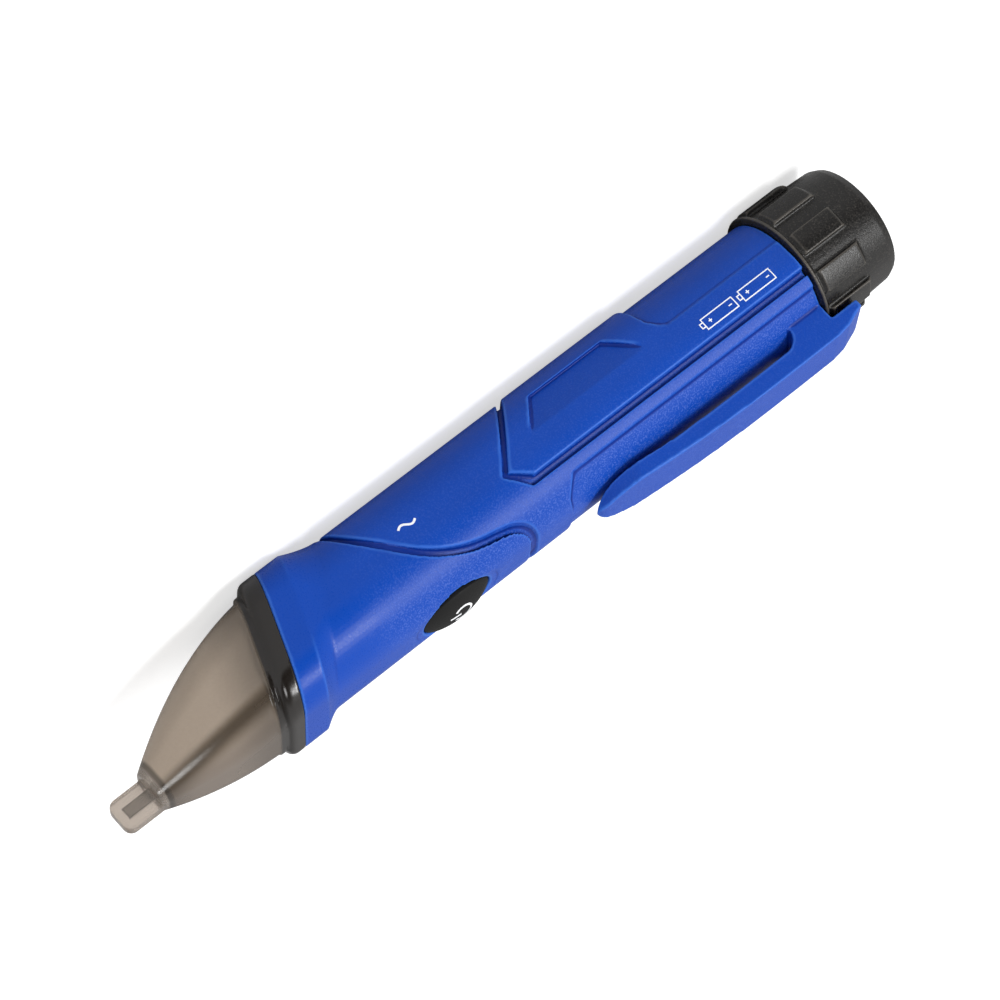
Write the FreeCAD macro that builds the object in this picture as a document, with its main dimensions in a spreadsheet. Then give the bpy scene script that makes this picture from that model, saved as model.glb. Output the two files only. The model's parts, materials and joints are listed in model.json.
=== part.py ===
"""Non-contact voltage tester: a parametric assembly of separate pieces, in millimetres.

Frame: +X runs along the pen from the flat end of the cap to the tip of the blade, +Z points to the side that
carries the button and the pocket clip, and the origin is the centre of the cap's flat end.
"""
import FreeCAD, Part
import math
import os
import Sketcher

V = FreeCAD.Vector
DOC = FreeCAD.newDocument("VoltageTester")

# Driving dimensions, in millimetres and degrees.
DIMENSIONS = {
    # overall stations along the pen
    "blade_tip_x": 160.0,
    "blade_root_x": 153.4,
    "core_front_x": 114.0,
    "flare_start_x": 114.8,
    "flare_slope": 0.62,
    "ridge_x": 119.6,
    "shoulder_x": 72.9,
    "barrel_rear_x": 17.9,
    # barrel
    "tube_radius": 10.95,
    "core_radius": 10.5,
    "bore_radius": 9.1,
    "front_half": 10.95,
    "panel_half": 11.15,
    "section_corner": 9.5,
    "collar_half": 11.75,
    "collar_corner": 7.0,
    "cavity_half": 9.15,
    "cavity_corner": 7.7,
    "cavity_front_x": 131.0,
    "groove_width": 1.2,
    "rim_slope": 0.389,
    "rim_rear_x": 124.3,
    "rim_length": 3.6,
    "rim_round": 1.6,
    # nose
    "dome_base_x": 123.0,
    "dome_base_half": 10.55,
    "dome_tip_half": 3.15,
    "dome_tip_rise": 4.2,
    "wall_nose": 1.65,
    "antenna_thickness": 0.8,
    "antenna_gap": 0.05,
    "plug_length": 8.0,
    "plug_clearance": 0.15,
    "blade_height": 5.8,
    "blade_thickness": 2.4,
    "blade_centre_z": 4.7,
    "blade_round": 1.5,
    # clip
    "clip_half": 4.2,
    "clip_tip_x": 69.5,
    "clip_top_z": 15.9,
    "clip_side_slope": 0.12,
    # button and switch
    "button_x": 97.1,
    "button_long": 13.4,
    "button_wide": 9.2,
    "button_top_z": 12.2,
    "button_gap": 0.12,
    "ceiling_z": 9.1,
    # cap
    "cap_gap": 0.15,
    "cap_radius": 11.35,
    "cap_end_radius": 11.1,
    "cap_end_round": 1.8,
    "lug_radius": 12.25,
    "lug_floor_radius": 11.45,
    "lug_front_x": 16.6,
    "flange_radius": 12.1,
    "lug_rear_x": 7.2,
    "lug_angle": 20.0,
    "lug_count": 10,
    "lug_turn": 9.5,
    "lug_chamfer": 0.6,
    "spigot_radius": 9.04,
    "spigot_front_x": 27.0,
    "spigot_inner": 6.9,
    "seal_x": 21.0,
    "seal_ring": 8.42,
    "seal_cord": 0.65,
    "end_wall": 1.8,
    # cells
    "cell_radius": 5.25,
    "cell_length": 44.5,
    "cell_rear_x": 6.6,
    "nub_radius": 1.9,
    "nub_length": 0.9,
    # board
    "board_z": 5.9,
    "board_thickness": 1.0,
    "board_rear_x": 82.0,
    "board_front_x": 114.0,
    "board_width": 13.0,
    "screw_x": 84.6,
    "screw_y": 4.9,
    "part_clearance": 0.01,
}


def make_sheet():
    """Writes the driving dimensions into a spreadsheet, one aliased cell each."""
    sheet = DOC.addObject("Spreadsheet::Sheet", "Sizes")
    for row, (alias, value) in enumerate(DIMENSIONS.items(), start=1):
        sheet.set(f"A{row}", alias)
        sheet.set(f"B{row}", str(value))
        sheet.setAlias(f"B{row}", alias)
    DOC.recompute()
    return sheet


SHEET = make_sheet()


def size(alias):
    return float(getattr(SHEET, alias))


# ---------------------------------------------------------------- sketch and feature helpers

def new_body(name):
    body = DOC.addObject("PartDesign::Body", name)
    body.Label = name
    return body


def origin_plane(body, role):
    return [f for f in body.Origin.OriginFeatures if f.Role == role][0]


def new_sketch(body, role, name, offset=None):
    """A sketch on one of the body's own origin planes, moved along its normal by a cell or expression."""
    sketch = body.newObject("Sketcher::SketchObject", name)
    sketch.AttachmentSupport = [(origin_plane(body, role), "")]
    sketch.MapMode = "FlatFace"
    if offset is not None:
        sketch.setExpression(".AttachmentOffset.Base.z", offset)
    return sketch


def circle(sketch, radius, centre=(0.0, 0.0)):
    """A circle whose radius is bound to a cell or expression."""
    index = sketch.addGeometry(Part.Circle(V(centre[0], centre[1], 0), V(0, 0, 1), 1.0))
    if centre == (0.0, 0.0):
        sketch.addConstraint(Sketcher.Constraint("Coincident", index, 3, -1, 1))
    constraint = sketch.addConstraint(Sketcher.Constraint("Radius", index, 1.0))
    sketch.setExpression(f"Constraints[{constraint}]", radius)
    return index


def polygon(sketch, points):
    """A closed outline of straight lines through the points."""
    first = sketch.GeometryCount
    count = len(points)
    for i, (a, b) in enumerate(points):
        c, d = points[(i + 1) % count]
        sketch.addGeometry(Part.LineSegment(V(a, b, 0), V(c, d, 0)))
    for i in range(count):
        sketch.addConstraint(Sketcher.Constraint("Coincident", first + i, 2, first + (i + 1) % count, 1))
    return first


def rectangle(sketch, width, height):
    """A rectangle centred on the sketch origin, with its two sizes bound to cells or expressions."""
    first = polygon(sketch, [(-1, -1), (1, -1), (1, 1), (-1, 1)])
    for i, kind in enumerate(("Horizontal", "Vertical", "Horizontal", "Vertical")):
        sketch.addConstraint(Sketcher.Constraint(kind, first + i))
    sketch.addConstraint(Sketcher.Constraint("Symmetric", first, 1, first + 2, 1, -1, 1))
    across = sketch.addConstraint(Sketcher.Constraint("DistanceX", first, 1, first, 2, 2.0))
    sketch.setExpression(f"Constraints[{across}]", width)
    along = sketch.addConstraint(Sketcher.Constraint("DistanceY", first + 1, 1, first + 1, 2, 2.0))
    sketch.setExpression(f"Constraints[{along}]", height)
    return first


def pad(body, sketch, name, length, symmetric=False, reverse=False):
    feature = body.newObject("PartDesign::Pad", name)
    feature.Profile = sketch
    feature.setExpression("Length", length)
    feature.Reversed = reverse
    if symmetric:
        feature.SideType = "Symmetric"
    DOC.recompute()
    return feature


def pocket(body, sketch, name, length, symmetric=False, reverse=False):
    """A pocket that must take some material away."""
    before = body.Shape.Volume
    feature = body.newObject("PartDesign::Pocket", name)
    feature.Profile = sketch
    feature.setExpression("Length", length)
    feature.Reversed = reverse
    if symmetric:
        feature.SideType = "Symmetric"
    DOC.recompute()
    if body.Shape.Volume > before - 1e-6:
        raise RuntimeError(f"{name} cuts nothing")
    return feature


def turned(body, name, profile, role="XZ_Plane"):
    """A solid turned about the X axis from a closed (x, radius) outline."""
    sketch = new_sketch(body, role, name + "_profile")
    polygon(sketch, profile)
    feature = body.newObject("PartDesign::Revolution", name)
    feature.Profile = sketch
    feature.ReferenceAxis = (sketch, ["H_Axis"])
    feature.Angle = 360.0
    DOC.recompute()
    return feature


def box(name, length, width, height, place):
    """A box bound to cells, with place giving expressions for its lowest corner."""
    feature = DOC.addObject("Part::Box", name)
    feature.Label = name
    for key, value in (("Length", length), ("Width", width), ("Height", height)):
        feature.setExpression(key, value)
    for key, value in zip("xyz", place):
        feature.setExpression(f".Placement.Base.{key}", value)
    return feature


def rod(name, radius, height, x, axis=V(1, 0, 0), y="0", z="0"):
    """A cylinder bound to cells, that starts at x, y, z and runs along an axis."""
    feature = DOC.addObject("Part::Cylinder", name)
    feature.Label = name
    feature.Placement.Rotation = FreeCAD.Rotation(V(0, 0, 1), axis)
    feature.setExpression("Radius", radius)
    feature.setExpression("Height", height)
    for key, value in (("x", x), ("y", y), ("z", z)):
        feature.setExpression(f".Placement.Base.{key}", value)
    return feature


def boolean(kind, name, first, second):
    feature = DOC.addObject(kind, name)
    feature.Label = name
    if kind == "Part::MultiFuse":
        feature.Shapes = [first] + list(second)
    else:
        feature.Base = first
        feature.Tool = second
    DOC.recompute()
    return feature


def fuse(name, parts):
    return boolean("Part::MultiFuse", name, parts[0], parts[1:])


def cut(name, base, tool):
    before = base.Shape.Volume
    feature = boolean("Part::Cut", name, base, tool)
    if feature.Shape.Volume > before - 1e-6:
        raise RuntimeError(f"{name} cuts nothing")
    return feature


def shape_feature(name, shape):
    feature = DOC.addObject("Part::Feature", name)
    feature.Label = name
    feature.Shape = shape
    return feature


# ---------------------------------------------------------------- cross-sections made in code

def rounded_section(x, half_y, half_z, corner, centre_z=0.0):
    """A rounded rectangle across the pen at station x, as a wire of four lines and four arcs."""
    corner = min(corner, half_y - 0.05, half_z - 0.05)
    edges = []
    centres = [(half_y - corner, half_z - corner), (-half_y + corner, half_z - corner),
               (-half_y + corner, -half_z + corner), (half_y - corner, -half_z + corner)]
    arcs = []
    for quarter, (cy, cz) in enumerate(centres):
        ends = []
        for step in (0, 1, 2):
            angle = math.radians(90 * quarter + 45 * step)
            ends.append(V(x, cy + corner * math.cos(angle), centre_z + cz + corner * math.sin(angle)))
        arcs.append(ends)
    for quarter, ends in enumerate(arcs):
        edges.append(Part.Arc(*ends).toShape())
        following = arcs[(quarter + 1) % 4][0]
        edges.append(Part.makeLine(ends[2], following))
    return Part.Wire(edges)


def section_loft(sections):
    return Part.makeLoft(sections, True, False)


def prism(x_start, x_end, half, corner):
    face = Part.Face(rounded_section(x_start, half, half, corner))
    return face.extrude(V(x_end - x_start, 0, 0))


SIDE_SPAN = 60.0  # wider than the pen, for cuts made from the side


def side_prism(points, curve=None):
    """A prism through the pen, drawn as a side view of (x, z); curve adds a spline from last to first."""
    edges = [Part.makeLine(V(a, 0, b), V(c, 0, d)) for (a, b), (c, d) in zip(points, points[1:])]
    if curve is None:
        edges.append(Part.makeLine(V(points[-1][0], 0, points[-1][1]), V(points[0][0], 0, points[0][1])))
    else:
        spline = Part.BSplineCurve()
        spline.interpolate([V(a, 0, b) for a, b in [points[-1]] + curve + [points[0]]])
        edges.append(spline.toShape())
    face = Part.Face(Part.Wire(edges))
    solid = face.extrude(V(0, SIDE_SPAN, 0))
    solid.translate(V(0, -SIDE_SPAN / 2, 0))
    return solid


# ---------------------------------------------------------------- barrel

LOW, HIGH = -15.0, 15.0  # below and above the barrel in a side view

# The front panel's edge sweeps from under the barrel up to the top behind the button.
PANEL_SWEEP = [(106.3, -5.6), (102.4, -0.2), (99.6, 3.1), (94.6, 6.4), (88.4, 8.1), (82.6, 9.4)]
PANEL_SWEEP_LOW = (107.6, LOW)
PANEL_SWEEP_HIGH = (80.0, HIGH)
CHEVRON_VERTEX = (80.2, 2.4)
CHEVRON_LOW_X = 66.5
CHEVRON_BACK = (76.9, 5.5)
STRIP_LOW_Z = -1.2
STRIP_HIGH_Z = 7.8
STEP_X = 44.9
BLANK_REAR_X = 60.0  # behind every edge of the front panel


def offset_line(points, distance):
    """A side-view line moved along its own normal; a positive distance moves it towards the nose."""
    moved = []
    for i, (x, z) in enumerate(points):
        before, after = points[max(i - 1, 0)], points[min(i + 1, len(points) - 1)]
        run, rise = after[0] - before[0], after[1] - before[1]
        length = math.hypot(run, rise)
        moved.append((x + distance * rise / length, z - distance * run / length))
    return moved


def panel_edge(distance):
    """The front panel's whole edge, from below the barrel to above it, moved to one side of the groove."""
    return offset_line([PANEL_SWEEP_LOW] + PANEL_SWEEP + [PANEL_SWEEP_HIGH], distance)


def front_panel_region():
    """The smooth panel around the button and the neck."""
    edge = panel_edge(size("groove_width") / 2)
    far = size("blade_tip_x")
    return side_prism([edge[-1], (far, HIGH), (far, LOW), edge[0]], edge[1:-1])


def middle_region():
    """The grained skin between the front panel's edge, the chevron and the shoulder behind the button."""
    half = size("groove_width") / 2
    edge = panel_edge(-half)
    vertex_x, vertex_z = CHEVRON_VERTEX
    back_x, back_z = CHEVRON_BACK
    shoulder = size("shoulder_x")
    points = [
        edge[0], (CHEVRON_LOW_X + half, LOW), (vertex_x + half, vertex_z),
        (back_x + half, back_z + half), (size("barrel_rear_x"), back_z + half),
        (size("barrel_rear_x"), STRIP_HIGH_Z), (shoulder - 2.3, STRIP_HIGH_Z), (shoulder + 0.1, 10.1),
        (shoulder + 0.1, HIGH), edge[-1],
    ]
    return side_prism(points, list(reversed(edge[1:-1])))


def side_panel_region():
    """The raised side panel behind the chevron, with the strip that runs back to the cap."""
    half = size("groove_width") / 2
    vertex_x, vertex_z = CHEVRON_VERTEX
    back_x, back_z = CHEVRON_BACK
    rear = size("barrel_rear_x")
    return side_prism([
        (CHEVRON_LOW_X - half, LOW), (vertex_x - half, vertex_z), (back_x - half, back_z - half),
        (rear, back_z - half), (rear, STRIP_LOW_Z), (STEP_X - 2.7, STRIP_LOW_Z), (STEP_X - 1.5, -2.1),
        (STEP_X - 0.2, -4.0), (STEP_X, -6.0), (STEP_X, LOW)])


def tube_region():
    """The plain round rear tube: all of it behind the chevron and behind the shoulder."""
    shoulder = size("shoulder_x")
    rear = size("barrel_rear_x")
    above_z = STRIP_HIGH_Z - 0.6
    below = side_prism([(CHEVRON_LOW_X - 1, LOW), (STEP_X + 4, STRIP_LOW_Z), (rear, STRIP_LOW_Z),
                        (rear, LOW)])
    above = side_prism([(rear, above_z), (shoulder, above_z), (shoulder, HIGH), (rear, HIGH)])
    return below.fuse(above)


def recess_tool():
    """The sloping trapezoid recess in each side panel: flush along its lower line, deep along the other."""
    tools = []
    near_z, far_z = -0.5, -6.4
    near_ends, far_ends = (47.6, 72.4), (52.2, 67.6)
    floor_drop = 2.05  # how far below the panel's widest point the recess floor reaches at its far line
    reach = 20.0  # well outside the barrel
    surface = size("panel_half")
    for side in (-1, 1):
        quad = [V(0, side * surface, near_z), V(0, side * reach, near_z), V(0, side * reach, far_z),
                V(0, side * (surface - floor_drop), far_z)]
        slab = Part.Face(Part.makePolygon(quad + [quad[0]])).extrude(V(size("barrel_rear_x") + 80, 0, 0))
        window = side_prism([(near_ends[1], near_z), (near_ends[0], near_z), (far_ends[0], far_z),
                             (far_ends[1], far_z)])
        tools.append(slab.common(window))
    return tools[0].fuse(tools[1])


def leaned_slice(near, far, far_slope=None):
    """Everything between two slanted planes that cross the pen's axis at near and far.

    Both lean as the rim does, unless the far one is given its own slope."""
    slope = size("rim_slope")
    far_slope = far_slope or slope
    return side_prism([(near + slope * LOW, LOW), (far + far_slope * LOW, LOW),
                       (far + far_slope * HIGH, HIGH), (near + slope * HIGH, HIGH)])


def front_blank():
    """The barrel's front end, its flare and its collar, whose ridge and rim stand on slanted planes."""
    flare, ridge, rim = size("flare_start_x"), size("ridge_x"), size("rim_rear_x")
    half, corner = size("front_half"), size("section_corner")
    half_gain, corner_gain = size("collar_half") - half, size("collar_corner") - corner
    flare_slope = size("flare_slope")
    steps = 6
    flare_power = 1.5  # above 1, so the flare starts tangent to the barrel and ends in a crisp ridge
    sections = []
    for i in range(steps + 1):
        share = i / steps
        rise = share ** flare_power
        grown = half + half_gain * rise
        section = rounded_section(flare + (ridge - flare) * share, grown, grown, corner + corner_gain * rise)
        lean = FreeCAD.Matrix()
        lean.A13 = flare_slope + (size("rim_slope") - flare_slope) * share
        sections.append(section.transformGeometry(lean))
    rear_part = leaned_slice(BLANK_REAR_X - HIGH, flare, flare_slope)
    straight = prism(BLANK_REAR_X, rim, half, corner).common(rear_part)
    collar = prism(flare - HIGH, rim + HIGH, size("collar_half"), size("collar_corner"))
    return straight.fuse([section_loft(sections), collar.common(leaned_slice(ridge, rim))])


def clip_solid():
    """The pocket clip with its root block and the short ledge that reaches over the cap."""
    top = size("clip_top_z")
    tip = size("clip_tip_x")
    half = size("clip_half")
    rear = size("barrel_rear_x")
    under = 12.65
    outer = Part.BSplineCurve()
    nose_back = V(tip - 2.3, 0, top - 1.95)
    rear_top = V(19, 0, top - 0.05)
    outer.interpolate([nose_back, V(tip - 12.2, 0, top - 1.05), V(tip - 20.8, 0, top - 0.45),
                       V(36, 0, top - 0.03), rear_top])
    nose_arc = Part.Arc(V(tip, 0, 12.9), V(tip - 0.75, 0, top - 2.4), nose_back).toShape()
    inner = Part.BSplineCurve()
    inner.interpolate([V(28, 0, under), V(47, 0, under - 0.05), V(56.5, 0, under - 0.5), V(64.2, 0, 11.5),
                       V(67.6, 0, 11.95), V(tip, 0, 12.9)])
    slot_end = Part.Arc(V(24.9, 0, 9.6), V(25.6, 0, 11.6), V(28, 0, under)).toShape()  # rounded slot end
    ledge_x, ledge_under, root_z, slot_x = 11.3, 12.75, 7.0, 24.9
    corners = [rear_top, V(16.2, 0, top - 0.45), V(ledge_x + 0.9, 0, 14.0), V(ledge_x, 0, 13.3),
               V(ledge_x, 0, ledge_under), V(rear, 0, ledge_under), V(rear, 0, root_z), V(slot_x, 0, root_z),
               V(slot_x, 0, 9.6)]
    edges = [nose_arc, outer.toShape()]
    edges += [Part.makeLine(a, b) for a, b in zip(corners, corners[1:])]
    edges += [slot_end, inner.toShape()]
    side = Part.Face(Part.Wire(edges)).extrude(V(0, 20, 0))
    side.translate(V(0, -10, 0))
    taper, wide, ledge_corner = 16.0, 5.1, 12.9
    tip_round = Part.Ellipse(V(tip - taper, 0, 0), taper, wide)
    plan_edges = [
        Part.makeLine(V(ledge_corner, -wide, 0), V(tip - taper, -wide, 0)),
        Part.ArcOfEllipse(tip_round, -math.pi / 2, math.pi / 2).toShape(),
        Part.makeLine(V(tip - taper, wide, 0), V(ledge_corner, wide, 0)),
        Part.Arc(V(ledge_corner, wide, 0), V(ledge_x, 0, 0), V(ledge_corner, -wide, 0)).toShape(),
    ]
    plan = Part.Face(Part.Wire(plan_edges)).extrude(V(0, 0, 30))
    slope = size("clip_side_slope")
    foot = half + slope * (top - 5.0)
    crown = half - slope * 2.0
    across = Part.makePolygon([V(0, -foot, 5), V(0, foot, 5), V(0, crown, top + 2), V(0, -crown, top + 2),
                               V(0, -foot, 5)])
    section = Part.Face(across).extrude(V(100, 0, 0))
    return side.common(plan).common(section)


def oval(x, z, long, wide, height):
    """An upright oval prism: a racetrack with pointed-round ends, standing on height z."""
    ellipse = Part.Ellipse(V(x, 0, z), long / 2, wide / 2)
    face = Part.Face(Part.Wire([ellipse.toShape()]))
    return face.extrude(V(0, 0, height))


def build_body_shell():
    rear, front = size("barrel_rear_x"), size("core_front_x")
    corner = size("section_corner")
    core = rod("shell_core", "Sizes.core_radius", "Sizes.core_front_x - Sizes.barrel_rear_x",
               "Sizes.barrel_rear_x")
    tube = rod("rear_tube", "Sizes.tube_radius", "Sizes.shoulder_x - Sizes.barrel_rear_x",
               "Sizes.barrel_rear_x")
    DOC.recompute()
    skins = {
        "front_panel": (front_blank(), front_panel_region()),
        "middle_skin": (prism(rear, front, size("front_half"), corner), middle_region()),
        "side_panels": (prism(rear, 90, size("panel_half"), corner), side_panel_region()),
        "plain_tube": (tube.Shape, tube_region()),
    }
    pieces = [core]
    for name, (blank, region) in skins.items():
        pieces.append(shape_feature(name, blank.common(region)))
    pieces.append(shape_feature("pocket_clip", clip_solid()))
    outside = fuse("shell_outside", pieces)
    recessed = cut("shell_recessed", outside, shape_feature("side_recess", recess_tool()))
    bore = rod("cell_bore", "Sizes.bore_radius", "Sizes.core_front_x - Sizes.barrel_rear_x + 2",
               "Sizes.barrel_rear_x - 1")
    cavity = shape_feature("front_cavity", prism(80.0, size("cavity_front_x"), size("cavity_half"),
                                                 size("cavity_corner")))
    seat = box("button_seat", "Sizes.button_long + 4", "Sizes.button_wide + 2.2", "Sizes.ceiling_z",
               ("Sizes.button_x - Sizes.button_long / 2 - 2", "-Sizes.button_wide / 2 - 1.1", "0"))
    gap = size("button_gap")
    window = shape_feature("button_window", oval(size("button_x"), 8.0, size("button_long") + 2 * gap,
                                                 size("button_wide") + 2 * gap, 8.0))
    dish = shape_feature("button_dish", oval(size("button_x"), 10.75, size("button_long") + 4.0,
                                             size("button_wide") + 2.6, 4.0))
    hollow = fuse("shell_hollow", [bore, cavity, seat, window, dish])
    return cut("body_shell", recessed, hollow)


# ---------------------------------------------------------------- nose

DOME_TAPER = 2.08  # the nose closes in along this power of the distance from its rim
DOME_LEAN = 1.25  # and its centre rises along this one, towards the blade
DOME_NARROWING = 0.05  # how much narrower than tall it is at its small end
DOME_CORNER = 0.72  # corner radius as a share of the half height


def dome_section(x):
    """Half height, half width and centre height of the nose at station x."""
    base_x, tip_x = size("dome_base_x"), size("blade_root_x")
    base_half, tip_half = size("dome_base_half"), size("dome_tip_half")
    share = max(0.0, (x - base_x) / (tip_x - base_x))
    half = tip_half + (base_half - tip_half) * (1.0 - share ** DOME_TAPER)
    centre = size("dome_tip_rise") * share ** DOME_LEAN
    return half, half * (1.0 - DOME_NARROWING * share), centre


def dome(start, inset):
    """The nose dome as a loft through rounded sections, made smaller by inset on every side."""
    sections = []
    steps = 12
    end = size("blade_root_x") - inset
    for i in range(steps + 1):
        share = 1.0 - (1.0 - i / steps) ** 1.35
        x = start + (end - start) * share
        half_z, half_y, centre = dome_section(x)
        corner = (half_z - inset) * DOME_CORNER
        sections.append(rounded_section(x, half_y - inset, half_z - inset, corner, centre))
    return section_loft(sections)


def slanted_slab(near, far, half, corner):
    """A slice of a rounded prism between two planes that lean with the nose rim."""
    return prism(near - 10, far + 10, half, corner).common(leaned_slice(near, far))


def build_nose_cover():
    rim_x = size("rim_rear_x")
    length = size("rim_length")
    collar_corner = size("collar_corner")
    rim = slanted_slab(rim_x, rim_x + length, size("collar_half"), collar_corner)
    front_edges = []
    for edge in rim.Edges:
        centre = edge.CenterOfMass
        if abs(centre.x - size("rim_slope") * centre.z - rim_x - length) < 0.35:
            front_edges.append(edge)
    rim = rim.makeFillet(size("rim_round"), front_edges)
    lip = slanted_slab(rim_x + length - 0.2, rim_x + length + 0.9, 11.0, 8.2)
    in_front = leaned_slice(rim_x, size("blade_tip_x") + HIGH)
    outside = dome(116.0, 0.0).common(in_front).fuse(rim).fuse(lip)
    plug_half = size("cavity_half") - size("plug_clearance")
    plug_corner = size("cavity_corner") - size("plug_clearance")
    plug = slanted_slab(rim_x - size("plug_length"), rim_x + 1.0, plug_half, plug_corner)
    blade = build_blade()
    hollow = dome(124.0, size("wall_nose"))
    throat = slanted_slab(rim_x - size("plug_length") - 1, rim_x + 6.0, plug_half - 1.3, plug_corner - 1.3)
    throat = throat.common(prism(100, 129.0, 20, 5))
    solid = outside.fuse(plug).fuse(blade).cut(hollow).cut(throat).cut(antenna_slot())
    return shape_feature("nose_cover", solid)


def build_blade():
    """The flat sensing blade, standing on edge, with rounded corners and softened sides."""
    x0, x1 = size("blade_root_x") - 2.0, size("blade_tip_x")
    half = size("blade_height") / 2
    thick = size("blade_thickness")
    blade = Part.makeBox(x1 - x0, thick, 2 * half, V(x0, -thick / 2, size("blade_centre_z") - half))
    corners = [e for e in blade.Edges if e.CenterOfMass.x > x1 - 0.01 and e.BoundBox.YLength > thick - 0.01]
    blade = blade.makeFillet(size("blade_round"), corners)
    rims = [e for e in blade.Edges if e.CenterOfMass.x > x0 + 0.01 and e.BoundBox.YLength < 0.01]
    return blade.makeFillet(0.45, rims)


def antenna_outline(grow):
    """The antenna strip as a side view: narrow in the blade, widening back through the nose."""
    mid = size("blade_centre_z")
    return [(158.4 + grow, mid - 1.0 - grow), (158.4 + grow, mid + 1.0 + grow), (150.0, mid + 1.0 + grow),
            (128.0, 5.75 + grow), (110.0 - grow, 5.75 + grow), (110.0 - grow, 2.4 - grow),
            (128.0, 2.4 - grow), (150.0, mid - 1.1 - grow)]


def antenna_plate(thickness, grow):
    points = [V(x, -thickness / 2, z) for x, z in antenna_outline(grow)]
    face = Part.Face(Part.makePolygon(points + [points[0]]))
    return face.extrude(V(0, thickness, 0))


def antenna_slot():
    gap = size("antenna_gap")
    return antenna_plate(size("antenna_thickness") + 2 * gap, gap)


def build_sensor_antenna():
    return shape_feature("sensor_antenna", antenna_plate(size("antenna_thickness"), 0.0))


# ---------------------------------------------------------------- cap, seal and battery contacts

def build_battery_cap():
    body = new_body("battery_cap")
    end_round, end_radius = size("cap_end_round"), size("cap_end_radius")
    front = size("barrel_rear_x") - size("cap_gap")
    floor_radius, flange = size("lug_floor_radius"), size("flange_radius")
    neck = size("tube_radius")
    wall = size("end_wall")
    lean = math.sin(math.radians(45)) * end_round
    seat_x, seat_half, seat_floor = size("seal_x"), 0.9, 7.75
    spigot, spigot_end, inner = size("spigot_radius"), size("spigot_front_x"), size("spigot_inner")
    outline = [
        (0, 0), (0, end_radius - end_round), (end_round - lean, end_radius - end_round + lean),
        (end_round, end_radius), (size("lug_rear_x"), size("cap_radius")), (front - 1.0, floor_radius),
        (front - 0.75, flange), (front - 0.35, flange), (front, neck), (front, spigot),
        (seat_x - seat_half, spigot), (seat_x - seat_half, seat_floor),
        (seat_x + seat_half, seat_floor), (seat_x + seat_half, spigot), (spigot_end - 0.6, spigot),
        (spigot_end, spigot - 0.6), (spigot_end, inner), (wall, inner), (wall, 0),
    ]
    turned(body, "cap_turning", outline)
    rear, near = size("lug_rear_x"), size("lug_front_x")
    foot, crown, chamfer = floor_radius - 0.6, size("lug_radius"), size("lug_chamfer")
    sketch = new_sketch(body, "XZ_Plane", "lug_outline")
    sketch.AttachmentOffset = FreeCAD.Placement(V(0, 0, 0), FreeCAD.Rotation(V(1, 0, 0), size("lug_turn")))
    polygon(sketch, [(rear, foot), (rear, crown - chamfer), (rear + chamfer, crown), (near - chamfer, crown),
                     (near, crown - chamfer), (near, foot)])
    lug = body.newObject("PartDesign::Revolution", "grip_lug")
    lug.Profile = sketch
    lug.ReferenceAxis = (sketch, ["H_Axis"])
    lug.setExpression("Angle", "Sizes.lug_angle")
    lug.Midplane = True
    DOC.recompute()
    pattern = body.newObject("PartDesign::PolarPattern", "grip_lugs")
    pattern.Originals = [lug]
    pattern.Axis = (origin_plane(body, "X_Axis"), [""])
    pattern.Angle = 360.0
    pattern.setExpression("Occurrences", "Sizes.lug_count")
    body.Tip = pattern
    DOC.recompute()
    return body


def build_cap_seal():
    ring = DOC.addObject("Part::Torus", "cap_seal")
    ring.Placement.Rotation = FreeCAD.Rotation(V(0, 0, 1), V(1, 0, 0))
    ring.setExpression("Radius1", "Sizes.seal_ring")
    ring.setExpression("Radius2", "Sizes.seal_cord")
    ring.setExpression(".Placement.Base.x", "Sizes.seal_x")
    return ring


def build_cap_contact():
    """A plated cup: its floor takes the spring, its rim meets the return strip."""
    body = new_body("cap_contact")
    floor = size("end_wall") + 0.02
    outer = size("spigot_inner") - 0.05
    sheet = 0.25
    rim = size("spigot_front_x") + 0.8
    turned(body, "contact_cup", [(floor, 0), (floor, outer), (rim, outer), (rim, outer - sheet),
                                 (floor + sheet, outer - sheet), (floor + sheet, 0)])
    return body


def build_battery_spring():
    """Three turns of round wire, squeezed between the cap contact and the rear cell."""
    wire = 0.35
    start = size("end_wall") + 0.02 + 0.25 + wire + 0.02
    length = size("cell_rear_x") - wire - 0.02 - start
    helix = Part.makeHelix(length / 3.0, length, 3.2)
    profile = Part.Wire([Part.Circle(V(3.2, 0, 0), V(0, 1, 0), wire).toShape()])
    coil = Part.Wire(helix).makePipeShell([profile], True, True)
    feature = shape_feature("battery_spring", coil)
    feature.Placement = FreeCAD.Placement(V(start, 0, 0), FreeCAD.Rotation(V(0, 0, 1), V(1, 0, 0)))
    return feature


def build_cell(name, start):
    """An AAA cell: can, shoulder and positive nub, with the nub towards the nose."""
    body = new_body(name)
    radius, length = size("cell_radius"), size("cell_length")
    nub, nub_radius = size("nub_length"), size("nub_radius")
    gap = 0.05  # between this cell's nub and whatever it faces
    end = start + length - gap
    turned(body, name + "_can", [
        (start, 0), (start, radius - 0.5), (start + 0.4, radius), (end - nub - 0.6, radius),
        (end - nub, radius - 0.7), (end - nub, nub_radius), (end, nub_radius), (end, 0)])
    return body


def build_positive_contact():
    """A bent leaf that meets the front cell's nub and turns forward over the chassis bulkhead."""
    start = size("cell_rear_x") + 2 * size("cell_length") + 0.02
    body = new_body("positive_contact")
    sketch = new_sketch(body, "XZ_Plane", "leaf_outline")
    leaf = 0.3
    top = size("board_z") - 0.05
    foot, reach = -3.5, 4.0
    polygon(sketch, [(start, foot), (start + leaf, foot), (start + leaf, top - leaf),
                     (start + reach, top - leaf), (start + reach, top), (start, top)])
    pad(body, sketch, "leaf", "5", symmetric=True)
    return body


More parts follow.
